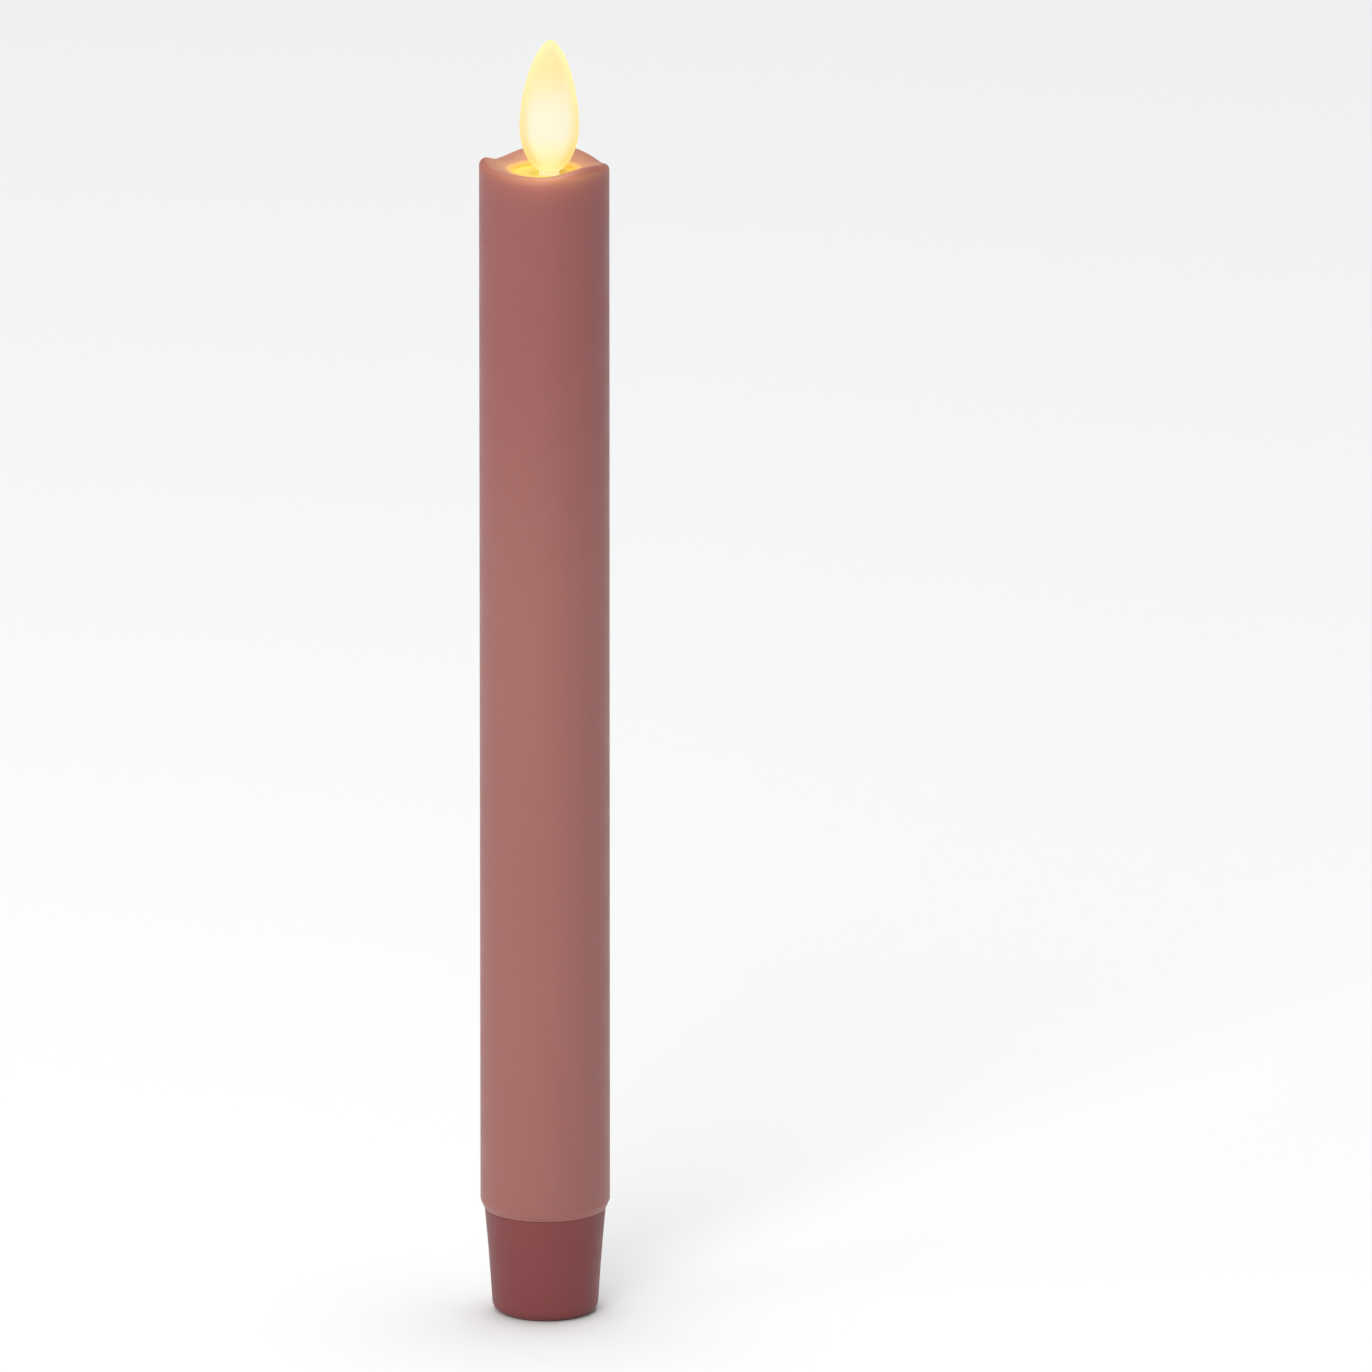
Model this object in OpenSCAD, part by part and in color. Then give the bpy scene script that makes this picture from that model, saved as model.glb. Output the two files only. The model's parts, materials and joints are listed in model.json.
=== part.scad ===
// Flameless taper candle: a real-wax sleeve over a plastic core, a hollow swinging flame driven by
// a coil and magnet, two AA cells, and a tapered foot that unscrews. Millimetres, +Z up, with the
// origin at the centre of the face that the candle stands on.

/* [Candle] */
// Diameter of the wax sleeve
candle_d = 22; // [21:0.5:26]
// Height of the wax rim above the table, before its melted waves
rim_h = 200.8; // [198:0.2:220]
// Height of the melted waves in the rim, as a share of the usual height
rim_wave = 1; // [0:0.1:1.2]
// Diameter of the opening in the wax around the flame
well_d = 10.8; // [10:0.2:12]

/* [Foot] */
// Height of the tapered foot
foot_h = 18.2; // [18:0.05:18.5]
// Diameter of the foot at its top
foot_top_d = 20.6; // [20:0.1:21]
// Diameter of the foot at its bottom, before the edge is rounded
foot_bottom_d = 18.05; // [17.6:0.05:19]

/* [Flame] */
// Height of the flame above the floor of its well
flame_h = 23.1; // [20:0.1:26]
// Widest diameter of the flame
flame_d = 10.1; // [8:0.1:10.6]
// Distance from the candle's axis to the flame's axis
flame_x = 0.85; // [0.5:0.05:1]
// Furthest swing of the flame to either side, in degrees
flame_swing = 8; // [4:1:8]

/* [Battery] */
// Diameter of an AA cell
cell_d = 14.2; // [13.8:0.1:14.4]
// Length of an AA cell, with its button
cell_l = 50.4; // [50:0.1:50.4]

/* [Hidden] */
$fn = 96;

// Gap that lets a glued or push-fit part slide into place
fit_gap = 0.05;
// Gap kept between parts that move past each other
move_gap = 0.1;
// Gap between the wax sleeve and the foot
seam_gap = 0.05;
// Extra length that carries a cutting shape past the face it opens
cut = 1;

// Wax sleeve
wax_r = candle_d / 2;
wax_bottom_z = foot_h + seam_gap;
wax_chamfer_r = 0.65;
wax_chamfer_h = 1.4;
rim_round = 1.1;
well_r = well_d / 2;
well_lip_h = 0.65;
dish_depth = 1;
floor_z = rim_h - dish_depth - well_lip_h;
crown_z = floor_z - 2;
crown_sides = 72;
// The crown is a hair inside the sleeve's faces and runs down into it, so the two join cleanly
crown_inset = 0.03;
crown_overlap = 0.5;
// Each crest or dip of the melted rim: the angle it stands at, its height, and how wide it spreads
rim_waves = [
    [84, 0.85, 23], [176, 0.85, 18], [316, 1.05, 22], [141, -0.85, 17], [25, -0.75, 14], [268, -0.2, 18]
];

// Core tube
tube_bore_r = 7.35;
tube_r = 8.5;
tube_top_z = floor_z - 1;
flange_r = 9.4;
flange_h = 0.8;
flange_z = wax_bottom_z + fit_gap;
spigot_r = 8.15;
spigot_z = 10.6;
strip_groove_w = 3;
strip_groove_r = 7.7;

// Two-start screw thread between the tube and the foot
thread_lead = 5;
thread_z = 11.9;
rib_turn = 345;
rib_height = 0.4;
lug_start = 180;
lug_turn = 55;
lug_height = 0.4;
thread_step = 7.5;

// Foot
foot_bore_r = 8.65;
foot_round = 1.9;
foot_edge = 0.08;
foot_side_steps = 14;
// Share of the side's widening that is in its flare at the top, and how late that flare starts
foot_flare = 0.25;
foot_flare_power = 2;
foot_floor = 2;
foot_recess_r = 5.4;
foot_recess_h = 0.7;
ledge_z = 9.2;
ledge_bore_r = 7.4;
board_t = 1;
board_top_z = ledge_z + board_t;
switch_board_r = 8;
foot_seat_r = 8.05;
retainer_h = 0.35;
retainer_bore_r = 7.8;
ring_t = 0.15;
ring_inner_r = 6.85;
ring_outer_r = 7.75;

// Slide switch in the foot
switch_travel = 2;
switch_size = [9, 3.8, 3.5];
knob_size = [2.4, 2.2];
knob_z = 0.35;
knob_on_x = -switch_travel;
knob_groove = 0.35;

// Cells, their spring and contacts
cell_r = cell_d / 2;
cell_can_l = cell_l - 1.2;
cell_button_r = 2.75;
lower_cell_z = 13;
upper_cell_z = lower_cell_z + cell_l;
contact_z = upper_cell_z + cell_l;
contact_t = 0.3;
stop_z = contact_z + contact_t;
stop_h = 2.2;
spring_wire_r = 0.3;
spring_turns = 3;
spring_base_r = 5.2;
spring_top_r = 2.4;
strip_t = 0.2;
strip_w = 2.4;
strip_x = 7.42;
strip_foot_t = 0.2;

// Where the two supply wires pass, to either side of the axis
supply_x = 3.6;

// Drive housing and what it holds
housing_r = 7.25;
housing_wall = 1.1;
housing_z = stop_z + stop_h + 0.7;
housing_top_z = floor_z - 4.1;
housing_floor = 1.2;
deck_z = 160;
deck_h = 1.6;
pivot_z = floor_z - 8.65;
pivot_wire_r = 0.4;
pivot_eye_bore_r = 0.48;
pivot_wire_half = 6.6;
pivot_boss_y = 4.4;
pivot_boss_r = 1.5;
screw_heights = [119.8, 154.5];
screw_boss_r = 1.7;
screw_shank_r = 0.62;
screw_head_r = 1.2;
screw_head_h = 0.8;
screw_tip_y = 3.4;
screw_seat_y = -3.6;

// Flame and pendulum
neck_r = 1.7;
neck_below = 2.2;
flame_wall = 0.5;
flame_wide_z = 8.3;
flame_r = flame_d / 2;
stem_r = 1.2;
stem_eye_r = 1.8;
stem_eye_w = 3;
magnet_r = 2.5;
magnet_h = 4;
magnet_z = pivot_z - 18.5;
slot_half_l = neck_r + (floor_z - pivot_z) * sin(flame_swing) + 0.3;
slot_half_w = neck_r + 0.35;
collar_t = 1;
collar_r = 8.4;
collar_skirt_h = 3;
collar_skirt_wall = 0.9;

// Coil
bobbin_z = deck_z + deck_h;
bobbin_h = 8;
bobbin_r = 5.1;
bobbin_hub_r = 2.2;
bobbin_bore_r = 1.2;
bobbin_flange = 0.8;
coil_r = 4.7;
coil_lead_x = 2.6;

// Lamp
led_r = 1.5;
led_flange_r = 1.75;
led_flange_h = 0.8;
led_body_l = 2.9;
led_tilt = 20;
led_x = -4.35;
led_z = pivot_z - 2.9;
led_boss_r = 2.1;
led_boss_h = 1.8;
led_lead_x = -5.6;

// Control board
board_z = 122;
board_h = 28;
board_w = 10.8;

// Angles and directions that several parts share
up_y = [0, 1, 0];
up_z = [0, 0, 1];
wire_sides = 8;

// ---------------------------------------------------------------- shared shapes

function unit(v) = v / norm(v);

function tangent(path, i) =
    unit(path[min(i + 1, len(path) - 1)] - path[max(i - 1, 0)]);

// A section's points around one point of a path
function section_ring(path, i, section, up) =
    let (t = tangent(path, i), side = unit(cross(up, t)), top = cross(t, side))
    [for (q = section) path[i] + q[0] * side + q[1] * top];

// Side faces between rings of n points each, closed by a cap at each end or by joining up
function tube_faces(rings, n) = [
    for (i = [0 : rings - 2], j = [0 : n - 1])
        let (k = (j + 1) % n)
        each [[i * n + j, (i + 1) * n + j, i * n + k],
              [i * n + k, (i + 1) * n + j, (i + 1) * n + k]]
];

function end_caps(rings, n) = [
    [for (j = [0 : n - 1]) j],
    [for (j = [n - 1 : -1 : 0]) (rings - 1) * n + j]
];

// A solid that carries a closed section along a path
module sweep(path, section, up) {
    rings = len(path);
    n = len(section);
    points = [for (i = [0 : rings - 1]) each section_ring(path, i, section, up)];
    polyhedron(points, concat(tube_faces(rings, n), end_caps(rings, n)), convexity = 10);
}

function round_section(r) =
    [for (j = [0 : wire_sides - 1]) let (a = 360 * j / wire_sides) [r * cos(a), r * sin(a)]];

// A helix of the thread's lead, at radius r from angle a0 through turn degrees
function thread_path(r, z, a0, turn) = [
    for (a = [a0 : thread_step : a0 + turn])
        [r * cos(a), r * sin(a), z + thread_lead * a / 360]
];

// Points of a smooth curve through four control points
function bend(p0, p1, p2, p3, steps = 7) = [
    for (i = [0 : steps])
        let (t = i / steps, s = 1 - t)
        s * s * s * p0 + 3 * s * s * t * p1 + 3 * s * t * t * p2 + t * t * t * p3
];

// One path that runs on from p to q, which starts where p ends
function joined(p, q) = concat(p, [for (i = [1 : len(q) - 1]) q[i]]);

module wire(path, r) {
    sweep(path, round_section(r), up_y);
}

module disc(r, z0, z1) {
    translate([0, 0, z0]) cylinder(r = r, h = z1 - z0);
}

module ring(r_out, r_in, z0, z1) {
    difference() {
        disc(r_out, z0, z1);
        disc(r_in, z0 - cut, z1 + cut);
    }
}

// A box given by its lowest and highest corners
module block(lo, hi) {
    translate(lo) cube(hi - lo);
}

// A cylinder along Y from y0 to y1
module rod_y(r, x, z, y0, y1) {
    translate([x, y1, z]) rotate([90, 0, 0]) cylinder(r = r, h = y1 - y0);
}

// ---------------------------------------------------------------- wax sleeve

function angle_apart(a, b) = abs(((a - b) % 360 + 540) % 360 - 180);

// Height of the melted rim's wave at angle a
function wave(a) =
    rim_wave * [for (w = rim_waves) w[1] * exp(-pow(angle_apart(a, w[0]) / w[2], 2) / 2)]
        * [for (w = rim_waves) 1];

// Height of the wax's upper surface at radius r: a dish that rises to the rim
function dish(r, a) =
    let (t = (r - well_r) / (wax_r - rim_round - well_r))
    floor_z + well_lip_h + (dish_depth + wave(a)) * t * t * (3 - 2 * t);

// The crown's outline at angle a as [r, z] points, from the bore up over the rim to the well
function crown_outline(a) =
    let (rim_r = wax_r - crown_inset - rim_round, top = dish(rim_r, a),
         bore_r = tube_r + fit_gap + crown_inset)
    concat(
        [[bore_r, crown_z - crown_overlap], [rim_r + rim_round, crown_z - crown_overlap]],
        [for (b = [0 : 22.5 : 90]) [rim_r + rim_round * cos(b), top - rim_round * (1 - sin(b))]],
        [for (t = [0.75, 0.5, 0.25, 0]) let (r = well_r + t * (rim_r - well_r)) [r, dish(r, a)]],
        [[well_r, floor_z + fit_gap], [bore_r, floor_z + fit_gap]]
    );

module wax_crown() {
    n = len(crown_outline(0));
    points = [
        for (i = [0 : crown_sides - 1])
            let (a = 360 * i / crown_sides)
            each [for (q = crown_outline(a)) [q[0] * cos(a), q[0] * sin(a), q[1]]]
    ];
    faces = [
        for (i = [0 : crown_sides - 1], j = [0 : n - 1])
            let (m = (i + 1) % crown_sides, k = (j + 1) % n)
            each [[i * n + j, i * n + k, m * n + j], [i * n + k, m * n + k, m * n + j]]
    ];
    polyhedron(points, faces, convexity = 10);
}

module wax_shell() {
    color("#a8716d") union() {
        wax_crown();
        rotate_extrude() polygon([
            [tube_r + fit_gap, flange_z + flange_h + fit_gap],
            [flange_r + fit_gap, flange_z + flange_h + fit_gap],
            [flange_r + fit_gap, wax_bottom_z],
            [wax_r - wax_chamfer_r, wax_bottom_z],
            [wax_r, wax_bottom_z + wax_chamfer_h],
            [wax_r, crown_z],
            [tube_r + fit_gap, crown_z]
        ]);
    }
}

// ---------------------------------------------------------------- core tube

module thread_rib() {
    section = [[0.3, -0.85], [0.3, 0.85], [-rib_height, 0.55], [-rib_height, -0.55]];
    sweep(thread_path(spigot_r, thread_z, 0, rib_turn), section, up_z);
}

module core_tube() {
    color("#efe9df") union() {
        difference() {
            union() {
                disc(spigot_r, spigot_z, flange_z + flange_h);
                disc(flange_r, flange_z, flange_z + flange_h);
                disc(tube_r, flange_z, tube_top_z);
            }
            disc(tube_bore_r, spigot_z - cut, tube_top_z + cut);
            block([0, -strip_groove_w / 2, spigot_z - cut],
                  [strip_groove_r, strip_groove_w / 2, housing_z + cut]);
        }
        for (a = [0, 180]) rotate([0, 0, a]) thread_rib();
    }
}

// ---------------------------------------------------------------- foot

module foot_lug() {
    section = [[lug_height, -0.42], [lug_height, 0.42], [-0.3, 0.62], [-0.3, -0.62]];
    gap = thread_lead / 4;
    sweep(thread_path(foot_bore_r, thread_z + gap, lug_start, lug_turn), section, up_z);
}

// Outer half-outline of the foot: a rounded bottom edge, a side that flares a little near the
// seam, and a softened top edge
function foot_outline() =
    let (low = foot_bottom_d / 2, high = foot_top_d / 2, r = low - foot_round,
         side_h = foot_h - foot_edge - foot_round)
    concat(
        [[0, 0], [r, 0]],
        [for (b = [-75 : 15 : -15]) [r + foot_round * cos(b), foot_round * (1 + sin(b))]],
        [for (i = [0 : foot_side_steps])
            let (t = i / foot_side_steps,
                 share = (1 - foot_flare) * t + foot_flare * pow(t, foot_flare_power))
            [low + (high - low) * share, foot_round + side_h * t]],
        [[high - foot_edge, foot_h], [0, foot_h]]
    );

module switch_window() {
    length = knob_size[0] + 2 * switch_travel + 0.4;
    width = knob_size[1] + 0.4;
    block([-length / 2, -width / 2, -cut], [length / 2, width / 2, foot_floor + cut]);
}

module base_cap() {
    color("#824c4f") union() {
        difference() {
            rotate_extrude() polygon(foot_outline());
            disc(foot_bore_r, board_top_z, foot_h + cut);
            disc(foot_seat_r, ledge_z, board_top_z + cut);
            disc(ledge_bore_r, foot_floor, ledge_z + cut);
            disc(foot_recess_r, -cut, foot_recess_h);
            switch_window();
        }
        for (a = [0, 180]) rotate([0, 0, a]) foot_lug();
    }
}

// ---------------------------------------------------------------- flame and pendulum

// Radius of the flame at height h above the well's floor: half an ellipse below its widest place,
// and a long taper to a rounded tip above it
function flame_radius(h) =
    h < flame_wide_z
        ? max(neck_r, flame_r * sqrt(1 - pow((flame_wide_z - h) / flame_wide_z, 2)))
        : flame_r * pow(max(0, 1 - pow((h - flame_wide_z) / (flame_h - flame_wide_z), 1.7)), 0.595);

// Heights up the flame, closer together towards both ends
function flame_heights(h0, h1, n) =
    [for (i = [0 : n]) h0 + (h1 - h0) * (1 - cos(180 * i / n)) / 2];

module flame_shell() {
    inner_tip = flame_h - 1.2;
    inner_base = 0.75;
    outer = [for (h = flame_heights(0, flame_h, 30)) [flame_radius(h), floor_z + h]];
    inner = [
        for (h = flame_heights(inner_base, inner_tip, 22))
            let (share = (h - inner_base) / (inner_tip - inner_base) * flame_h)
            [max(0, flame_radius(share * 0.96 + h * 0.04) - flame_wall), floor_z + h]
    ];
    bore_r = stem_r + fit_gap;
    outline = concat(
        [[bore_r, floor_z - neck_below], [neck_r, floor_z - neck_below]],
        outer,
        [for (i = [len(inner) - 1 : -1 : 0]) if (inner[i][0] > bore_r || i > 11) inner[i]],
        [[bore_r, floor_z + inner_base]]
    );
    color("#ffe9a8") translate([flame_x, 0, 0]) rotate_extrude() polygon(outline);
}

module flame_stem() {
    color("#f4f1e6") translate([flame_x, 0, 0]) difference() {
        union() {
            disc(stem_r, magnet_z + magnet_h, floor_z + 1.6);
            disc(magnet_r, magnet_z + magnet_h, magnet_z + magnet_h + 0.6);
            rod_y(stem_eye_r, 0, pivot_z, -stem_eye_w / 2, stem_eye_w / 2);
        }
        rod_y(pivot_eye_bore_r, 0, pivot_z, -stem_eye_w, stem_eye_w);
    }
}

module pendulum_magnet() {
    color("silver") translate([flame_x, 0, 0]) disc(magnet_r, magnet_z, magnet_z + magnet_h);
}

module pivot_wire() {
    color("silver") rod_y(pivot_wire_r, flame_x, pivot_z, -pivot_wire_half, pivot_wire_half);
}

module flame_collar() {
    color("#ffd84a") difference() {
        union() {
            disc(collar_r, floor_z - collar_t, floor_z);
            ring(tube_bore_r - fit_gap, tube_bore_r - fit_gap - collar_skirt_wall,
                 floor_z - collar_t - collar_skirt_h, floor_z - collar_t);
        }
        translate([flame_x, 0, floor_z - collar_t - cut]) linear_extrude(collar_t + 2 * cut) {
            square([2 * (slot_half_l - slot_half_w), 2 * slot_half_w], center = true);
            for (s = [-1, 1]) translate([s * (slot_half_l - slot_half_w), 0]) circle(slot_half_w);
        }
    }
}

// ---------------------------------------------------------------- drive housing

module led_axis() {
    translate([led_x, 0, led_z]) rotate([0, led_tilt, 0]) children();
}

module housing_body() {
    inner_r = housing_r - housing_wall;
    difference() {
        union() {
            ring(housing_r, inner_r, housing_z, housing_top_z);
            disc(inner_r + fit_gap, housing_z, housing_z + housing_floor);
            disc(inner_r + fit_gap, deck_z, deck_z + deck_h);
            intersection() {
                disc(inner_r + fit_gap, housing_z, housing_top_z);
                union() {
                    for (z = screw_heights) rod_y(screw_boss_r, 0, z, -housing_r, housing_r);
                    for (s = [-1, 1]) {
                        rod_y(pivot_boss_r, flame_x, pivot_z,
                              min(s * pivot_boss_y, s * housing_r),
                              max(s * pivot_boss_y, s * housing_r));
                        block([s * board_w / 2 - 0.6, -1.3, board_z],
                              [s * board_w / 2 + 0.6, 1.3, board_z + board_h]);
                    }
                    led_axis() disc(led_boss_r, led_flange_h, led_flange_h + led_boss_h);
                    led_axis() block([-3, -led_boss_r, led_flange_h],
                                     [0, led_boss_r, led_flange_h + led_boss_h]);
                }
            }
        }
        block([-board_w / 2 - fit_gap, -board_t / 2 - fit_gap, board_z - fit_gap],
              [board_w / 2 + fit_gap, board_t / 2 + fit_gap, board_z + board_h + fit_gap]);
        rod_y(pivot_wire_r + 0.02, flame_x, pivot_z, -pivot_wire_half - fit_gap,
              pivot_wire_half + fit_gap);
        for (z = screw_heights) {
            rod_y(screw_shank_r + fit_gap, 0, z, screw_seat_y - cut, screw_tip_y + fit_gap);
            rod_y(screw_head_r + move_gap, 0, z, -housing_r - cut, screw_seat_y);
        }
        for (s = [-1, 1]) {
            translate([s * coil_lead_x, 0, deck_z - cut]) cylinder(r = 0.5, h = deck_h + 2 * cut);
            translate([s * supply_x, 0, housing_z - cut]) cylinder(r = 1, h = housing_floor + 2 * cut);
        }
        block([led_lead_x - 0.5, -1.1, deck_z - cut], [led_lead_x + 0.5, 1.1, deck_z + deck_h + cut]);
        led_axis() disc(led_r + fit_gap, -cut, led_flange_h + 3);
    }
}

module drive_housing_front() {
    color("#f2f0ea") intersection() {
        housing_body();
        block([-housing_r - cut, -housing_r - cut, housing_z - cut],
              [housing_r + cut, -0.02, housing_top_z + cut]);
    }
}

module drive_housing_rear() {
    color("#e9e6de") intersection() {
        housing_body();
        block([-housing_r - cut, 0.02, housing_z - cut],
              [housing_r + cut, housing_r + cut, housing_top_z + cut]);
    }
}

module housing_screws() {
    color("silver") for (z = screw_heights) difference() {
        union() {
            rod_y(screw_shank_r, 0, z, screw_seat_y - fit_gap, screw_tip_y);
            rod_y(screw_head_r, 0, z, screw_seat_y - screw_head_h, screw_seat_y);
        }
        for (turn = [0, 90])
            translate([0, screw_seat_y - screw_head_h, z])
                rotate([0, turn, 0]) cube([1.4, 0.7, 0.3], center = true);
    }
}

// ---------------------------------------------------------------- coil, lamp and board

module coil_bobbin() {
    color("#2b2b2e") difference() {
        union() {
            disc(bobbin_r, bobbin_z, bobbin_z + bobbin_flange);
            disc(bobbin_hub_r, bobbin_z, bobbin_z + bobbin_h);
            disc(bobbin_r, bobbin_z + bobbin_h - bobbin_flange, bobbin_z + bobbin_h);
        }
        disc(bobbin_bore_r, bobbin_z - cut, bobbin_z + bobbin_h + cut);
        for (s = [-1, 1])
            translate([s * coil_lead_x, 0, bobbin_z - cut])
                cylinder(r = 0.35, h = bobbin_flange + 2 * cut);
    }
}

module drive_coil() {
    color("#b8662e") ring(coil_r, bobbin_hub_r + 0.02, bobbin_z + bobbin_flange + 0.02,
                          bobbin_z + bobbin_h - bobbin_flange - 0.02);
}

module coil_leads() {
    top = bobbin_z + bobbin_flange;
    end = board_z + board_h - 1.5;
    color("#b8662e") for (s = [-1, 1])
        wire(bend([s * coil_lead_x, 0, top], [s * coil_lead_x, 0, top - 7],
                  [s * 2.2, -1.2, end + 8], [s * 2, -0.8, end]), 0.15);
}

module led_lamp() {
    color("#fff4cf") led_axis() {
        disc(led_flange_r, 0, led_flange_h);
        disc(led_r, 0, led_flange_h + led_body_l);
        translate([0, 0, led_flange_h + led_body_l]) difference() {
            sphere(led_r);
            block([-2, -2, -4], [2, 2, -0.1]);
        }
    }
}

// Where a lamp lead leaves the lamp, on the side s of it
function led_foot(s) = [led_x, 0.64 * s, led_z];

module led_leads() {
    end = board_z + board_h - 3.4;
    color("silver") for (s = [-1, 1])
        wire(joined(
            bend(led_foot(s), led_foot(s) - [1.2, 0, 6], [led_lead_x, s * 0.6, deck_z + 20],
                 [led_lead_x, s * 0.6, deck_z]),
            bend([led_lead_x, s * 0.6, deck_z], [led_lead_x, s * 0.6, deck_z - 6],
                 [-4, s * 1.1, end + 8], [-4, s * 0.8, end])
        ), 0.22);
}

module control_board() {
    color("#2f7a45")
        block([-board_w / 2, -board_t / 2, board_z], [board_w / 2, board_t / 2, board_z + board_h]);
}

// A part of the given size, seated on the board's front face at x and z
module on_board(x, z, size) {
    block([x - size[0] / 2, -board_t / 2 - size[2], z - size[1] / 2],
          [x + size[0] / 2, -board_t / 2, z + size[1] / 2]);
}

module controller_chip() {
    color("#232326") on_board(0, board_z + 12, [3.9, 4.9, 1.5]);
    color("silver") for (s = [-1, 1], i = [-1.5 : 1 : 1.5])
        on_board(s * 2.35, board_z + 12 + i * 1.27, [0.8, 0.4, 0.25]);
}

module smoothing_capacitor() {
    color("#c9a24a") on_board(0, board_z + 19, [6, 3.2, 2.6]);
}

module drive_transistors() {
    color("#232326") for (x = [-2.6, 2.6]) on_board(x, board_z + 23.4, [2.9, 1.3, 1]);
}

module board_resistors() {
    color("#303034") for (x = [-3, -1, 1, 3]) on_board(x, board_z + 6.2, [1.25, 2, 0.5]);
}

module solder_joints() {
    spots = [
        [-2, board_h - 1.5, -1], [2, board_h - 1.5, -1], [-3.4, 1.8, -1], [3.4, 1.8, -1],
        [-4, board_h - 3.4, -1], [-4, board_h - 3.4, 1]
    ];
    color("#d0d2d6") for (p = spots)
        translate([p[0], p[2] * board_t / 2, board_z + p[1]]) rotate([p[2] * -90, 0, 0])
            cylinder(r1 = 0.75, r2 = 0.3, h = 0.5);
}

// ---------------------------------------------------------------- battery bay

module positive_lead() {
    start = [-supply_x, 0, stop_z];
    end = [-3.4, -1, board_z + 1.8];
    color("#b3201c") wire(bend(start, start + [0, 0, 4], end - [0, 0, 3], end), 0.45);
}

module negative_lead() {
    start = [supply_x, 0, stop_z + stop_h + fit_gap + strip_t];
    end = [3.4, -1, board_z + 1.8];
    color("#1d1d1f") wire(bend(start, start + [0, 0, 2.5], end - [0, 0, 2.5], end), 0.45);
}

module battery_stop() {
    color("#f2f0ea") difference() {
        disc(tube_bore_r - fit_gap, stop_z, stop_z + stop_h);
        block([strip_x - 0.3, -strip_groove_w / 2, stop_z - cut],
              [tube_r, strip_groove_w / 2, stop_z + stop_h + cut]);
        translate([-supply_x, 0, stop_z - cut]) cylinder(r = 0.7, h = stop_h + 2 * cut);
    }
}

module positive_contact() {
    color("silver") block([-4.6, -2.2, contact_z], [3, 2.2, contact_z + contact_t]);
}

module negative_strip() {
    top = stop_z + stop_h + fit_gap;
    half = strip_w / 2;
    color("silver") union() {
        block([strip_x, -half, spigot_z], [strip_x + strip_t, half, top + strip_t]);
        block([strip_x, -half, spigot_z - strip_foot_t], [ring_outer_r - fit_gap, half, spigot_z]);
        block([2.8, -half, top], [strip_x + strip_t, half, top + strip_t]);
    }
}

module cell(z) {
    translate([0, 0, z]) rotate_extrude() polygon([
        [0, 0], [cell_r - 0.9, 0], [cell_r - 0.7, 0.15], [cell_r - 0.15, 0.15], [cell_r, 0.4],
        [cell_r, cell_can_l - 0.5], [cell_r - 0.3, cell_can_l - 0.1], [cell_r - 1.1, cell_can_l - 0.1],
        [cell_r - 1.4, cell_can_l - 0.4], [cell_button_r + 0.6, cell_can_l - 0.4],
        [cell_button_r + 0.2, cell_can_l - 0.1], [cell_button_r, cell_can_l], [cell_button_r, cell_l - 0.2],
        [cell_button_r - 0.2, cell_l], [0, cell_l]
    ]);
}

module upper_cell() {
    color("#3a3d42") cell(upper_cell_z);
}

module lower_cell() {
    color("#3a3d42") cell(lower_cell_z);
}

module battery_spring() {
    z0 = board_top_z + spring_wire_r;
    z1 = lower_cell_z - spring_wire_r - 0.02;
    steps = spring_turns * 24;
    path = [
        for (i = [0 : steps])
            let (t = i / steps, a = t * spring_turns * 360,
                 r = spring_base_r + (spring_top_r - spring_base_r) * t)
            [r * cos(a), r * sin(a), z0 + (z1 - z0) * t]
    ];
    color("silver") sweep(path, round_section(spring_wire_r), up_z);
}

// ---------------------------------------------------------------- switch in the foot

module switch_board() {
    color("#2f7a45") disc(switch_board_r, ledge_z, board_top_z);
}

module contact_ring() {
    color("#c8963c") ring(ring_outer_r, ring_inner_r, board_top_z, board_top_z + ring_t);
}

module board_retainer() {
    color("#f2f0ea")
        ring(foot_bore_r - fit_gap, retainer_bore_r, board_top_z, board_top_z + retainer_h);
}

module switch_body() {
    half = switch_size / 2;
    slot_l = knob_size[0] / 2 + switch_travel + 0.25;
    color("#c4c6c9") difference() {
        block([-half[0], -half[1], ledge_z - switch_size[2]], [half[0], half[1], ledge_z]);
        block([-slot_l, -knob_size[1] / 2 - 0.15, ledge_z - switch_size[2] - cut],
              [slot_l, knob_size[1] / 2 + 0.15, ledge_z - switch_size[2] + 0.8]);
    }
}

module switch_pins() {
    color("silver") for (x = [-3, 0, 3])
        block([x - 0.3, switch_size[1] / 2, ledge_z - 1.2], [x + 0.3, switch_size[1] / 2 + 0.9, ledge_z]);
}

module switch_knob() {
    top = ledge_z - switch_size[2] + 0.7;
    half = knob_size / 2;
    color("#1d1d1f") difference() {
        block([knob_on_x - half[0], -half[1], knob_z], [knob_on_x + half[0], half[1], top]);
        for (x = [-0.7, 0, 0.7])
            block([knob_on_x + x - 0.15, -half[1] - cut, knob_z - cut],
                  [knob_on_x + x + 0.15, half[1] + cut, knob_z + knob_groove]);
    }
}

wax_shell();
core_tube();
base_cap();
flame_shell();
flame_stem();
pendulum_magnet();
pivot_wire();
flame_collar();
drive_housing_front();
drive_housing_rear();
housing_screws();
coil_bobbin();
drive_coil();
coil_leads();
led_lamp();
led_leads();
control_board();
controller_chip();
smoothing_capacitor();
drive_transistors();
board_resistors();
solder_joints();
positive_lead();
negative_lead();
battery_stop();
positive_contact();
negative_strip();
upper_cell();
lower_cell();
battery_spring();
switch_board();
contact_ring();
board_retainer();
switch_body();
switch_pins();
switch_knob();
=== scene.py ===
"""Looks for the flameless taper candle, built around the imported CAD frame. Lengths are in metres."""

import json
import math

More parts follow.
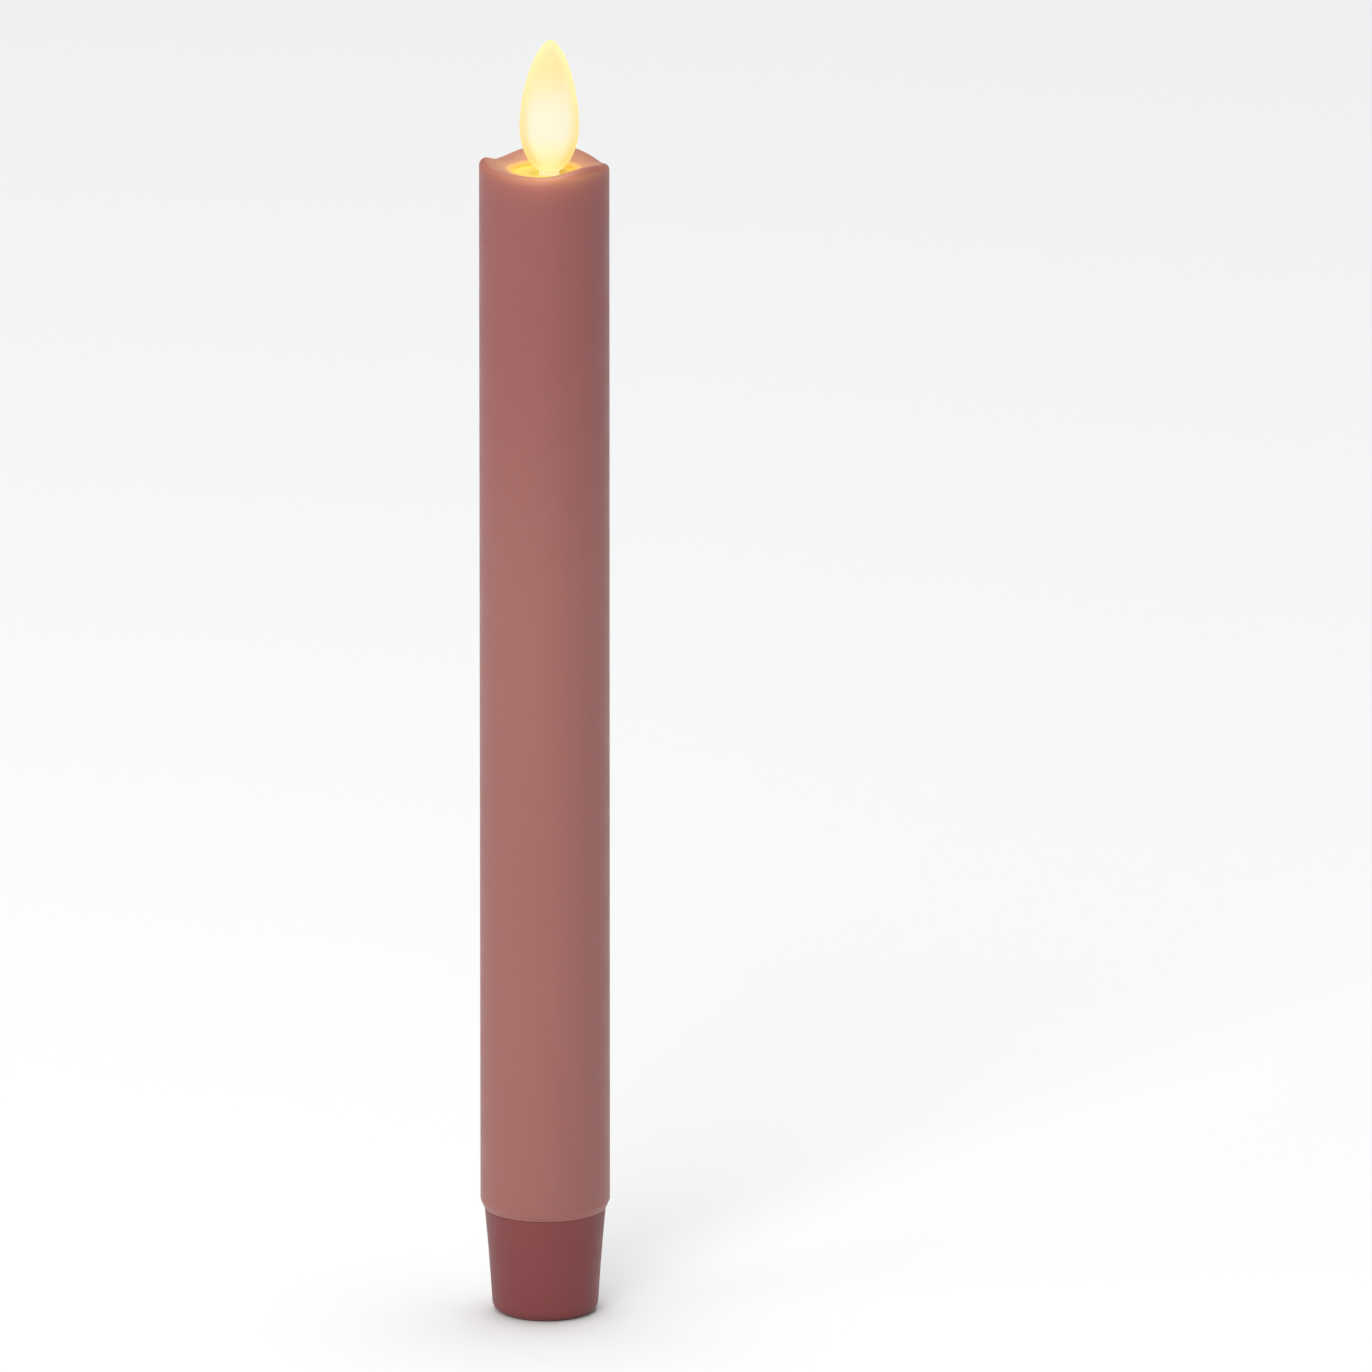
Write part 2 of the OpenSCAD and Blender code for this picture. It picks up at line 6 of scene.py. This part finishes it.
import bpy
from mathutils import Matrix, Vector


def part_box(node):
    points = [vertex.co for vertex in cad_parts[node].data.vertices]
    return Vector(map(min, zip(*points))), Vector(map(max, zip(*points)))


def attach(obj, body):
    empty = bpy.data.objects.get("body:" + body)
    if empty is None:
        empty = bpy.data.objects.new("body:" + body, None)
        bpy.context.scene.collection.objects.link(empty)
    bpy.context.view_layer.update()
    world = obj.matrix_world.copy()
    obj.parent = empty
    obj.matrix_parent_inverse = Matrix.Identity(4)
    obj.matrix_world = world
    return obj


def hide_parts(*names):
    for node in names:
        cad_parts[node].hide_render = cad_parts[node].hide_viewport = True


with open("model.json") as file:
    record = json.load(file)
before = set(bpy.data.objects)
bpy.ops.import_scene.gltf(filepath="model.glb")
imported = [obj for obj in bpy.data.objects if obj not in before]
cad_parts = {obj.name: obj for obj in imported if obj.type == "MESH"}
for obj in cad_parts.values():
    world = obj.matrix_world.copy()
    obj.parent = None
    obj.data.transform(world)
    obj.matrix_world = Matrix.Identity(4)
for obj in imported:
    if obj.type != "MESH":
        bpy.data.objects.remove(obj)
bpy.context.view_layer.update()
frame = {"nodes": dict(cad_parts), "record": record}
NODES = frame["nodes"]

MM = 0.001


# ---------------------------------------------------------------- places, from the CAD boxes

WAX_LO, WAX_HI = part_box("wax_shell")
FLAME_LO, FLAME_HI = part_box("flame_shell")

WAX_R = WAX_HI.x
FLOOR_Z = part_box("flame_collar")[1].z
FLAME_X = (FLAME_LO.x + FLAME_HI.x) / 2
FLAME_R = (FLAME_HI.x - FLAME_LO.x) / 2
FLAME_H = FLAME_HI.z - FLOOR_Z


# ---------------------------------------------------------------- mesh helpers


def mesh_object(name, points, faces, sharp_deg=35):
    """A smooth-shaded mesh object, with edges sharper than sharp_deg left crisp."""
    mesh = bpy.data.meshes.new(name)
    mesh.from_pydata(points, [], faces)
    mesh.validate()
    mesh.polygons.foreach_set("use_smooth", [True] * len(mesh.polygons))
    mesh.set_sharp_from_angle(angle=math.radians(sharp_deg))
    obj = bpy.data.objects.new(name, mesh)
    bpy.context.scene.collection.objects.link(obj)
    return obj


def ring_faces(rings, n):
    """Quads between rings of n points each; the last ring joins the first."""
    faces = []
    for i in range(rings):
        a, b = i * n, ((i + 1) % rings) * n
        faces += [(a + j, b + j, b + (j + 1) % n, a + (j + 1) % n) for j in range(n)]
    return faces


def closed_lathe(name, outline, segments):
    """A solid round the axis from outline, a function of the angle that gives (radius, z) points."""
    points = []
    for i in range(segments):
        a = math.tau * i / segments
        loop = outline(a)
        points += [(r * math.cos(a), r * math.sin(a), z) for r, z in loop]
    return mesh_object(name, points, ring_faces(segments, len(loop)))


def capped_lathe(name, outline, segments, centre, sharp_deg):
    """A solid from an outline that starts and ends on the axis, with a fan of triangles at each end."""
    (_, z_first), inner, (_, z_last) = outline[0], outline[1:-1], outline[-1]
    points, n = [], len(inner)
    for i in range(segments):
        a = math.tau * i / segments
        points += [(centre[0] + r * math.cos(a), centre[1] + r * math.sin(a), z) for r, z in inner]
    faces = []
    for i in range(segments):
        a, b = i * n, ((i + 1) % segments) * n
        faces += [(a + j, b + j, b + j + 1, a + j + 1) for j in range(n - 1)]
        faces += [(b, a, segments * n), (a + n - 1, b + n - 1, segments * n + 1)]
    points += [(*centre, z_first), (*centre, z_last)]
    return mesh_object(name, points, faces, sharp_deg)


def smoothstep(t):
    """0 to 1 for t from 0 to 1, level at both ends."""
    t = min(1.0, max(0.0, t))
    return t * t * (3 - 2 * t)


# ---------------------------------------------------------------- material helpers


class Shader:
    """A material and its node tree, with short calls to add nodes and join them."""

    def __init__(self, name, colour, roughness, **sockets):
        self.material = bpy.data.materials.new(name)
        self.material.use_nodes = True
        self.tree = self.material.node_tree
        self.surface = self.tree.nodes["Principled BSDF"]
        self.coords = self.tree.nodes.new("ShaderNodeTexCoord").outputs["Object"]
        self.set("Base Color", (*colour, 1))
        self.set("Roughness", roughness)
        for socket, value in sockets.items():
            self.set(socket.replace("_", " "), value)

    def set(self, socket, value):
        self.surface.inputs[socket].default_value = value

    def add(self, kind, inputs=(), **settings):
        """A node with the settings given. inputs holds (socket, value or output) pairs."""
        node = self.tree.nodes.new(kind)
        for key, value in settings.items():
            setattr(node, key, value)
        for socket, value in inputs:
            self.join(value, node.inputs[socket])
        return node

    def join(self, value, socket):
        if isinstance(value, bpy.types.NodeSocket):
            self.tree.links.new(value, socket)
        else:
            socket.default_value = value

    def to(self, socket, output):
        self.tree.links.new(output, self.surface.inputs[socket])

    def math(self, operation, a, b=0.0, clamp=False):
        node = self.add("ShaderNodeMath", [(0, a), (1, b)], operation=operation, use_clamp=clamp)
        return node.outputs[0]

    def remap(self, value, low, high, to_low=0.0, to_high=1.0, smooth=True):
        kind = "SMOOTHSTEP" if smooth else "LINEAR"
        inputs = [(0, value), (1, low), (2, high), (3, to_low), (4, to_high)]
        return self.add("ShaderNodeMapRange", inputs, interpolation_type=kind).outputs[0]

    def noise(self, scale, detail=3.0, stretch=(1, 1, 1), roughness=0.5):
        """Even noise in 0 to 1, whose features are 1/scale metres across."""
        mapped = self.add("ShaderNodeMapping", [("Vector", self.coords), ("Scale", stretch)])
        inputs = [("Vector", mapped.outputs[0]), ("Scale", scale), ("Detail", detail)]
        inputs.append(("Roughness", roughness))
        return self.add("ShaderNodeTexNoise", inputs).outputs["Fac"]

    def mix(self, share, a, b):
        node = self.add("ShaderNodeMix", data_type="RGBA")
        self.join(share, node.inputs["Factor"])
        self.join(a if isinstance(a, bpy.types.NodeSocket) else (*a, 1), node.inputs[6])
        self.join(b if isinstance(b, bpy.types.NodeSocket) else (*b, 1), node.inputs[7])
        return node.outputs[2]

    def bump(self, height, distance, strength=1.0):
        inputs = [("Height", height), ("Distance", distance), ("Strength", strength)]
        self.to("Normal", self.add("ShaderNodeBump", inputs).outputs["Normal"])

    def axes(self):
        """x, y, z and the distance from the candle's axis, in metres."""
        split = self.add("ShaderNodeSeparateXYZ", [(0, self.coords)])
        x, y, z = split.outputs
        flat = self.math("ADD", self.math("MULTIPLY", x, x), self.math("MULTIPLY", y, y))
        return x, y, z, self.math("SQRT", flat)


def dress(obj, shader):
    """Gives every slot of obj the shader's material."""
    if not obj.data.materials:
        obj.data.materials.append(shader.material)
    for i in range(len(obj.data.materials)):
        obj.data.materials[i] = shader.material


# ---------------------------------------------------------------- camera, light and floor

VIEW_ELEVATION = math.radians(15)
FRAME_WIDTH = 0.2321
LENS = 1000.0
SENSOR = 36.0
AIM = Vector((0.0239, 0, 0.1096))
FLOOR_HALF = 4.0


def make_camera():
    distance = LENS * FRAME_WIDTH / SENSOR
    back = Vector((0, -math.cos(VIEW_ELEVATION), math.sin(VIEW_ELEVATION)))
    data = bpy.data.cameras.new("camera")
    data.lens, data.sensor_width, data.clip_end = LENS, SENSOR, 30
    camera = bpy.data.objects.new("camera", data)
    camera.location = AIM + distance * back
    camera.rotation_euler = (math.pi / 2 - VIEW_ELEVATION, 0, 0)
    bpy.context.scene.collection.objects.link(camera)
    bpy.context.scene.camera = camera


def area_light(name, place, size, power):
    """A white disc light, turned towards the candle."""
    data = bpy.data.lights.new(name, "AREA")
    data.shape, data.size, data.energy = "DISK", size, power
    light = bpy.data.objects.new(name, data)
    light.location = place
    light.rotation_euler = (AIM - Vector(place)).to_track_quat("-Z", "Y").to_euler()
    bpy.context.scene.collection.objects.link(light)


def make_light():
    world = bpy.data.worlds.new("studio")
    world.use_nodes = True
    world.node_tree.nodes["Background"].inputs["Color"].default_value = (1, 1, 1, 1)
    world.node_tree.nodes["Background"].inputs["Strength"].default_value = 0.36
    bpy.context.scene.world = world
    area_light("key_light", (-0.5, -1.7, 1.15), 1.2, 23.0)
    area_light("side_light", (-1.6, -0.9, 0.9), 1.4, 7.0)
    area_light("right_fill", (1.8, -0.8, 0.3), 0.8, 1.6)
    area_light("top_light", (0.1, 0.6, 5.0), 3.0, 152.0)
    bpy.context.scene.view_settings.view_transform = "Standard"


def make_floor():
    s = FLOOR_HALF
    corners = [(-s, -s, 0), (s, -s, 0), (s, s, 0), (-s, s, 0)]
    floor = mesh_object("floor", corners, [(0, 1, 2, 3)])
    shader = Shader("floor_paper", (0.83, 0.833, 0.834), 0.9, Specular_IOR_Level=0.1)
    grain = shader.noise(900, 4)
    shader.to("Base Color", shader.mix(grain, (0.825, 0.828, 0.829), (0.835, 0.838, 0.839)))
    dress(floor, shader)


# ---------------------------------------------------------------- wax sleeve

WELL_R = 5.4 * MM
WELL_LIP_H = 0.65 * MM
DISH_DEPTH = 1.0 * MM
RIM_ROUND = 1.1 * MM
BORE_R = 8.55 * MM
FLANGE_R = 9.45 * MM
FLANGE_TOP_Z = WAX_LO.z + 0.9 * MM
CHAMFER_R = 0.65 * MM
CHAMFER_H = 1.4 * MM
WAX_SEGMENTS = 240
SIDE_STEPS = 60
ROUND_STEPS = 8
DISH_STEPS = 16

# The melted rim's crests and dips: angle in degrees, height and width in mm and degrees
RIM_WAVES = (
    (84, 0.85, 23), (176, 0.85, 18), (316, 1.05, 22), (141, -0.85, 17), (25, -0.75, 14), (268, -0.2, 18),
)


def rim_wave(a):
    """How far the rim is above or below its mean height at angle a."""
    total = 0.0
    for centre, height, width in RIM_WAVES:
        apart = abs((math.degrees(a) - centre + 180) % 360 - 180)
        total += height * math.exp(-((apart / width) ** 2) / 2)
    return total * MM


def dish_height(r, a):
    """Height of the wax's upper surface, which dips from the rim to the well."""
    t = (r - WELL_R) / (WAX_R - RIM_ROUND - WELL_R)
    return FLOOR_Z + WELL_LIP_H + (DISH_DEPTH + rim_wave(a)) * smoothstep(t)


def wax_outline(a):
    """The sleeve's closed outline at angle a: up the outside, over the rim, and down the bore."""
    rim_r = WAX_R - RIM_ROUND
    top = dish_height(rim_r, a)
    loop = [(WAX_R - CHAMFER_R, WAX_LO.z), (WAX_R - 0.08 * MM, WAX_LO.z + CHAMFER_H * 0.92)]
    loop += [(WAX_R, WAX_LO.z + CHAMFER_H + 0.15 * MM)]
    side_top, side_bottom = top - RIM_ROUND, WAX_LO.z + CHAMFER_H + 1.0 * MM
    side_h = side_top - side_bottom
    loop += [(WAX_R, side_bottom + side_h * i / SIDE_STEPS) for i in range(SIDE_STEPS + 1)]
    for i in range(1, ROUND_STEPS + 1):
        b = math.pi / 2 * i / ROUND_STEPS
        loop.append((rim_r + RIM_ROUND * math.cos(b), top - RIM_ROUND * (1 - math.sin(b))))
    for i in range(1, DISH_STEPS + 1):
        r = rim_r + (WELL_R + 0.25 * MM - rim_r) * i / DISH_STEPS
        loop.append((r, dish_height(r, a)))
    loop += [(WELL_R + 0.07 * MM, dish_height(WELL_R, a) - 0.06 * MM)]
    loop += [(WELL_R, dish_height(WELL_R, a) - 0.22 * MM), (WELL_R, FLOOR_Z + 0.05 * MM)]
    loop += [(BORE_R, FLOOR_Z + 0.05 * MM), (BORE_R, FLANGE_TOP_Z)]
    loop += [(FLANGE_R, FLANGE_TOP_Z), (FLANGE_R, WAX_LO.z)]
    return loop


def wax_shader():
    s = Shader("rose_wax", (0.29, 0.107, 0.095), 0.42, Subsurface_Weight=0.35,
               Subsurface_Radius=(1.0, 0.35, 0.25), Subsurface_Scale=0.003)
    s.set("Specular IOR Level", 0.3)
    x, _, z, r = s.axes()
    # painted shade: the upper sleeve is coloured darker and redder than the lower, standing in for how
    # the light falls on it
    upper = s.remap(z, 0.120, 0.178)
    body = s.mix(upper, (0.319, 0.124, 0.109), (0.283, 0.093, 0.088))
    cloud = s.noise(70, 4, (1, 1, 0.35))
    s.to("Base Color", s.mix(s.math("MULTIPLY", cloud, 0.25), body, (0.229, 0.084, 0.076)))
    painted_wax_glow(s, x, z, r)
    s.to("Roughness", s.remap(s.noise(260, 4), 0.3, 0.7, 0.38, 0.48, False))
    s.bump(s.noise(900, 5), 0.03 * MM, 0.4)
    return s


def painted_wax_glow(s, x, z, r):
    """Painted lamplight on the wax, as emission: strongest round the well, and dying away down the
    outside.
    """
    away = s.math("ABSOLUTE", s.math("SUBTRACT", FLOOR_Z + 1.5 * MM, z))
    depth = s.math("DIVIDE", away, 1.6 * MM)
    fade = s.math("EXPONENT", s.math("MULTIPLY", depth, -1))
    # painted highlight and glow along the rim's rounding (outside), strongest at the front and back and
    # fading down the side
    side = s.remap(s.math("ABSOLUTE", x), 0, 11 * MM, 0.9, 0.22)
    outside = s.remap(r, 9.4 * MM, 10.3 * MM)
    near = s.remap(r, WELL_R + 0.2 * MM, WELL_R + 1.5 * MM, 1.0, 0.0)
    rim_power = s.math("MULTIPLY", s.math("MULTIPLY", fade, side), 0.44)
    # painted light: streaks in the glow round the well
    glow_streaks = s.remap(s.noise(900, 2), 0.3, 0.7, 0.9, 1.1, False)
    # painted glow on the dish, strongest at the well's edge
    dish_power = s.math("ADD", s.remap(r, 6 * MM, 9.6 * MM, 0.38, 0.2), s.math("MULTIPLY", near, 0.45))
    above = s.remap(z, FLOOR_Z - 2 * MM, FLOOR_Z)
    dish_power = s.math("MULTIPLY", s.math("MULTIPLY", dish_power, glow_streaks), above)
    rim_colour = s.mix(s.remap(depth, 0.1, 1.2), (1.0, 0.48, 0.11), (1.0, 0.30, 0.10))
    dish_colour = s.mix(near, (1.0, 0.62, 0.24), (1.0, 0.60, 0.06))
    s.to("Emission Color", s.mix(outside, dish_colour, rim_colour))
    keep = s.math("MULTIPLY", dish_power, s.math("SUBTRACT", 1, outside))
    s.to("Emission Strength", s.math("ADD", keep, s.math("MULTIPLY", rim_power, outside)))


def make_wax():
    wax = closed_lathe("wax_sleeve", wax_outline, WAX_SEGMENTS)
    dress(wax, wax_shader())
    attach(wax, "core")
    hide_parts("wax_shell")


# ---------------------------------------------------------------- flame

WIDE_H = 8.3 * MM
NECK_R = 1.7 * MM
STEM_BORE_R = 1.25 * MM
CAVITY_SHARE = 0.65
CAVITY_FROM = 1.2 * MM
TIP_WALL = 1.8 * MM
CAVITY_STEPS = 40
FLAME_STEPS = 64
FLAME_LEAN = 0.25 * MM
NECK_LIT_H = 0.9 * MM
FLAME_SEGMENTS = 128
FLAME_SHARP_DEG = 60


def flame_radius(h):
    """Radius of the flame at height h above the well's floor."""
    if h < WIDE_H:
        return max(NECK_R, FLAME_R * math.sqrt(1 - ((WIDE_H - h) / WIDE_H) ** 2))
    t = (h - WIDE_H) / (FLAME_H - WIDE_H)
    return FLAME_R * max(0.0, 1 - t**1.7) ** 0.595


def eased(low, high, n):
    """n + 1 heights from low to high, closer together at both ends."""
    return [low + (high - low) * (1 - math.cos(math.pi * i / n)) / 2 for i in range(n + 1)]


def flame_outline():
    """The flame's half-outline, from its cavity's top down, round the neck and up to the tip, and
    the number of its points that are in the cavity."""
    low, high = CAVITY_FROM, FLAME_H - TIP_WALL
    cavity = []
    for h in eased(low, high, CAVITY_STEPS)[:-1]:
        share = (h - low) / (high - low)
        narrowest = STEM_BORE_R if share < 0.5 else 0.0
        cavity.append((max(narrowest, CAVITY_SHARE * flame_radius(share * FLAME_H)), FLOOR_Z + h))
    neck = [(STEM_BORE_R, FLAME_LO.z), (NECK_R, FLAME_LO.z), (NECK_R, FLOOR_Z - 0.4 * MM)]
    outer = [(flame_radius(h), FLOOR_Z + h) for h in eased(0.0, FLAME_H, FLAME_STEPS)[:-1]]
    inside = [(0.0, FLOOR_Z + high)] + cavity[::-1]
    return inside + neck + outer + [(0.0, FLOOR_Z + FLAME_H)], len(inside)


def flame_skin_shader():
    s = Shader("flame_plastic", (0.93, 0.77, 0.45), 0.75, Transmission_Weight=1.0, IOR=1.22)
    z = s.axes()[2]
    # painted lamplight: the skin glows as emission, more and yellower towards its lower part
    low = s.remap(z, FLOOR_Z + 3 * MM, FLOOR_Z + 9 * MM, 1.0, 0.0)
    s.to("Emission Color", s.mix(low, (1.0, 0.79, 0.37), (1.0, 0.83, 0.26)))
    s.to("Emission Strength", s.remap(low, 0, 1, 0.15, 0.25, False))
    return s


def flame_core_shader():
    s = Shader("flame_wall_painted_glow", (0.12, 0.11, 0.09), 0.6)
    # painted lamplight: the cavity's wall glows as emission, bluish white in the middle, yellow at the
    # ends and at the low neck; seen through the skin it gives the flame its bright middle
    z = s.axes()[2]
    low = s.remap(z, FLOOR_Z + 1 * MM, FLOOR_Z + 8 * MM)
    high = s.remap(z, FLOOR_Z + 10 * MM, FLOOR_Z + 19 * MM, 1.0, 0.0)
    inner = s.mix(s.math("MULTIPLY", low, high), (0.70, 0.66, 0.42), (0.70, 0.78, 0.87))
    neck = s.remap(z, FLOOR_Z + 0.7 * MM, FLOOR_Z + 1.3 * MM, 1.0, 0.0)
    s.to("Emission Color", s.mix(neck, inner, (0.92, 0.74, 0.34)))
    s.set("Emission Strength", 1.0)
    return s


def make_flame():
    """One solid, whose cavity's wall and low neck glow with painted lamplight, and leaning a little to
    the right.
    """
    outline, inside_rows = flame_outline()
    flame = capped_lathe("flame", outline, FLAME_SEGMENTS, (FLAME_X, 0.0), FLAME_SHARP_DEG)
    flame.data.materials.append(flame_skin_shader().material)
    flame.data.materials.append(flame_core_shader().material)
    rows = len(outline) - 2
    cavity_top = FLAME_SEGMENTS * rows
    for face in flame.data.polygons:
        inside = all(
            v == cavity_top or v < cavity_top and v % rows < inside_rows - 1 for v in face.vertices
        )
        # the low neck gets the wall's painted glow
        if inside or face.center.z < FLOOR_Z + NECK_LIT_H:
            face.material_index = 1
    for point in flame.data.vertices:
        share = max(0.0, point.co.z - FLOOR_Z) / FLAME_H
        point.co.x += FLAME_LEAN * share**3
    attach(flame, "flame")
    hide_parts("flame_shell")


# ---------------------------------------------------------------- well floor and foot


def collar_shader():
    s = Shader("collar_plastic", (0.62, 0.45, 0.09), 0.35)
    # painted pool of lamplight on the well floor: emission, brighter and yellower towards the left,
    # where the LED stands
    lit = s.remap(s.axes()[0], 5.4 * MM, -3 * MM)
    s.to("Emission Color", s.mix(lit, (1.0, 0.60, 0.10), (0.96, 1.0, 0.19)))
    s.to("Emission Strength", s.remap(lit, 0, 1, 0.22, 0.27, False))
    s.bump(s.noise(1500, 3), 0.01 * MM, 0.4)
    return s


def foot_shader():
    s = Shader("rose_plastic", (0.168, 0.03, 0.03), 0.45, Specular_IOR_Level=0.35)
    cloud = s.noise(120, 3)
    s.to("Base Color", s.mix(cloud, (0.182, 0.0385, 0.040), (0.197, 0.0425, 0.0425)))
    s.to("Roughness", s.remap(s.noise(500, 3), 0.3, 0.7, 0.42, 0.5, False))
    s.bump(s.noise(2500, 4), 0.008 * MM, 0.5)
    return s


# ---------------------------------------------------------------- inner parts


def plastic(name, colour, roughness=0.45, grain=1800, depth=0.008):
    s = Shader(name, colour, roughness)
    deep = tuple(c * 0.9 for c in colour)
    s.to("Base Color", s.mix(s.noise(90, 3), deep, colour))
    s.bump(s.noise(grain, 3), depth * MM, 0.5)
    return s


def metal(name, colour, roughness=0.25, stretch=(1, 1, 1), **sockets):
    s = Shader(name, colour, roughness, Metallic=1.0, **sockets)
    marks = s.noise(1200, 4, stretch)
    s.to("Roughness", s.remap(marks, 0.3, 0.7, roughness * 0.75, roughness * 1.3, False))
    s.to("Base Color", s.mix(s.noise(150, 3), tuple(c * 0.88 for c in colour), colour))
    s.bump(marks, 0.004 * MM, 0.5)
    return s


def metal_where(s, mask, colour, roughness=0.25):
    """Turns the surface to bare metal where mask is 1."""
    plain = tuple(s.surface.inputs["Base Color"].default_value)[:3]
    s.to("Base Color", s.mix(mask, plain, colour))
    s.to("Metallic", s.remap(mask, 0, 1, smooth=False))
    s.to("Roughness", s.remap(mask, 0, 1, 0.5, roughness, False))


def beyond(s, value, centre, reach):
    """1 where value is further than reach from centre."""
    apart = s.math("ABSOLUTE", s.math("SUBTRACT", value, centre))
    return s.math("GREATER_THAN", apart, reach)


def leaded_part(node, colour, axis, metal_l, end_colour=(0.62, 0.62, 0.63)):
    """A moulded part whose leads or end caps, metal_l long at each end of an axis, are bare metal."""
    low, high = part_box(node)
    s = Shader(node, colour, 0.5)
    value = s.axes()[axis]
    mask = beyond(s, value, (low[axis] + high[axis]) / 2, (high[axis] - low[axis]) / 2 - metal_l)
    metal_where(s, mask, end_colour)
    s.bump(s.noise(4000, 3), 0.01 * MM, 0.5)
    return s


def cell_shader(node):
    """A battery cell: a dark jacket with one pale ring, and bare steel ends."""
    low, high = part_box(node)
    s = Shader(node, (0.05, 0.053, 0.06), 0.3)
    z = s.axes()[2]
    middle, half = (low.z + high.z) / 2, (high.z - low.z) / 2
    steel_end = beyond(s, z, middle - 0.6 * MM, half - 1.25 * MM)
    ring = s.math("SUBTRACT", 1, beyond(s, z, high.z - 6 * MM, 1.2 * MM))
    jacket = s.mix(s.noise(90, 3), (0.045, 0.048, 0.055), (0.055, 0.058, 0.066))
    jacket = s.mix(ring, jacket, (0.42, 0.43, 0.45))
    s.to("Base Color", s.mix(steel_end, jacket, (0.62, 0.62, 0.61)))
    s.to("Metallic", s.remap(steel_end, 0, 1, smooth=False))
    s.to("Roughness", s.remap(s.noise(700, 4), 0.3, 0.7, 0.24, 0.36, False))
    return s


def coil_shader():
    """Fine enamelled wire wound round the axis, with painted shade in the grooves between turns."""
    s = Shader("drive_coil", (0.62, 0.24, 0.08), 0.3, Metallic=1.0)
    turn = s.math("MULTIPLY", s.axes()[2], math.tau / (0.2 * MM))
    crown = s.remap(s.math("SINE", turn), -1, 1)
    copper = s.mix(s.noise(800, 2), (0.58, 0.20, 0.06), (0.70, 0.29, 0.11))
    # painted shade: the colour darkens to brown in the grooves between turns
    s.to("Base Color", s.mix(crown, (0.16, 0.05, 0.015), copper))
    s.to("Roughness", s.remap(s.noise(900, 3), 0.3, 0.7, 0.22, 0.4, False))
    s.bump(crown, 0.05 * MM, 0.8)
    return s


def board_shader():
    """Green solder mask over a net of copper tracks."""
    s = Shader("board_green", (0.02, 0.17, 0.06), 0.3)
    x, y, z, _ = s.axes()
    flat = s.add("ShaderNodeCombineXYZ", [(0, s.math("ADD", y, z)), (1, x), (2, 0)])
    inputs = [("Vector", flat.outputs[0]), ("Scale", 1 / (2.4 * MM)), ("Mortar Size", 0.045)]
    inputs += [("Mortar Smooth", 0.1), ("Brick Width", 2.6), ("Row Height", 0.26)]
    tracks = s.add("ShaderNodeTexBrick", inputs).outputs["Fac"]
    mask = s.mix(s.noise(300, 3), (0.010, 0.105, 0.038), (0.014, 0.13, 0.048))
    s.to("Base Color", s.mix(tracks, mask, (0.028, 0.185, 0.066)))
    s.bump(tracks, 0.02 * MM, 0.6)
    return s


def lamp_shader():
    """Clear resin, lit from inside."""
    s = Shader("lamp_epoxy", (1.0, 0.93, 0.72), 0.12, IOR=1.5)
    low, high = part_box("led_lamp")
    lit = s.remap(s.axes()[2], low.z, high.z)
    s.to("Emission Color", s.mix(lit, (0.9, 0.55, 0.2), (1.0, 0.85, 0.5)))
    s.to("Emission Strength", s.remap(lit, 0, 1, 0.1, 0.8, False))
    return s


def slot_shaders():
    """One material for each of the record's slots that the CAD pieces use."""
    return {
        "ivory_plastic": plastic("ivory_plastic", (0.86, 0.82, 0.74), 0.4),
        "white_plastic": plastic("white_plastic", (0.88, 0.87, 0.83)),
        "black_plastic": plastic("black_plastic", (0.02, 0.02, 0.022), 0.5),
        "steel": metal("steel", (0.62, 0.62, 0.62), 0.25, (1, 1, 6)),
        "nickel": metal("nickel", (0.66, 0.65, 0.62), 0.16),
        "copper_wire": metal("copper_wire", (0.62, 0.24, 0.08), 0.3),
        "lamp_epoxy": lamp_shader(),
        "board_green": board_shader(),
        "chip_black": plastic("chip_black", (0.015, 0.015, 0.017), 0.55, 4000, 0.01),
        "solder": metal("solder", (0.6, 0.61, 0.63), 0.22),
        "red_insulation": plastic("red_insulation", (0.45, 0.012, 0.01), 0.35),
        "black_insulation": plastic("black_insulation", (0.012, 0.012, 0.013), 0.35),
        "gilt_copper": metal("gilt_copper", (0.72, 0.45, 0.14), 0.2),
        "collar_plastic": collar_shader(),
        "rose_plastic": foot_shader(),
    }


def dress_cad_parts():
    shaders = slot_shaders()
    for part in frame["record"]["subparts"]:
        if part["material_slot"] in shaders:
            dress(NODES[part["node"]], shaders[part["material_slot"]])
    dress(NODES["drive_coil"], coil_shader())
    dress(NODES["controller_chip"], leaded_part("controller_chip", (0.015, 0.015, 0.017), 0, 0.8 * MM))
    dress(NODES["board_resistors"], leaded_part("board_resistors", (0.02, 0.02, 0.022), 2, 0.35 * MM))
    capacitor = leaded_part("smoothing_capacitor", (0.5, 0.33, 0.08), 0, 0.6 * MM)
    dress(NODES["smoothing_capacitor"], capacitor)
    for node in ("upper_cell", "lower_cell"):
        dress(NODES[node], cell_shader(node))


make_camera()
make_light()
make_floor()
make_wax()
make_flame()
dress_cad_parts()
